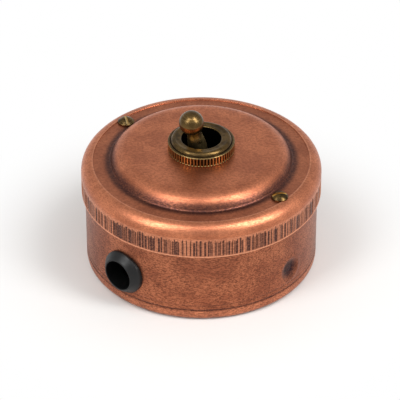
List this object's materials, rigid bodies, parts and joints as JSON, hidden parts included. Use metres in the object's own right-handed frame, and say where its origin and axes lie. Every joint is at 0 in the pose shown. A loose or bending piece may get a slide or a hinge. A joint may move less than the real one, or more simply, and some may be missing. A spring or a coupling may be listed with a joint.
{
  "type": "toggle light switch",
  "caption": "Surface-mounted round toggle switch: stepped knurled lid over a drum base, ball-ended lever in a ring nut, side cable grommet.",
  "frame": {"origin": "centre of the base cup's mounting face, on the axis of the drum", "axes": "+Z out of the wall through the lid, -Y towards the cable entry, X through the two lid screws"},
  "size_m": [0.08, 0.0818, 0.0588],
  "materials": {
    "copper": "antiqued copper, rubbed bright on the edges",
    "dark_brass": "antiqued turned brass",
    "brass": "turned brass",
    "contact_copper": "pressed bare copper strip",
    "steel": "pressed zinc-plated steel",
    "spring_steel": "drawn spring wire",
    "rubber": "matte black rubber",
    "phenolic": "moulded black phenolic"
  },
  "bodies": {
    "case": {"base_cup": "copper", "lid": "copper", "cable_grommet": "rubber", "ring_nut": "dark_brass", "bush": "brass", "lock_washer": "steel", "retaining_clip": "steel", "frame": "steel", "housing": "phenolic", "pivot_pin": "steel", "centre_contact": "contact_copper", "earth_terminal": "brass", "earth_screw": "brass", "lid_screw_left": "dark_brass", "lid_screw_right": "dark_brass", "lid_post_left": "brass", "lid_post_right": "brass", "pin_spacer_left": "brass", "pin_spacer_right": "brass", "end_contact_front": "contact_copper", "end_contact_rear": "contact_copper", "terminal_block_front": "brass", "terminal_screw_front": "brass", "terminal_block_centre": "brass", "terminal_screw_centre": "brass", "terminal_block_rear": "brass", "terminal_screw_rear": "brass"},
    "lever": {"toggle_lever": "dark_brass", "plunger_spring": "spring_steel"},
    "plunger": {"plunger": "phenolic"},
    "rocker": {"rocker_contact": "contact_copper"}
  },
  "joints": [
    {"name": "toggle", "type": "hinge", "parent": "case", "child": "lever", "pos_m": [0, 0, 0.0375], "axis": [-1, 0, 0], "range_deg": [0, 32]},
    {"name": "plunger_slide", "type": "slide", "parent": "lever", "child": "plunger", "axis": [0, -0.2756, 0.9613], "range_m": [0, 0.001], "stiffness_N_per_m": 300, "springref_m": -0.003, "deforming": ["plunger_spring"]},
    {"name": "rocker_tilt", "type": "hinge", "parent": "case", "child": "rocker", "pos_m": [0, 0, 0.0195], "axis": [1, 0, 0], "range_deg": [0, 14]}
  ],
  "couplings": [
    {"joint": "rocker_tilt", "follows": "toggle", "ratio": 0.4375}
  ]
}
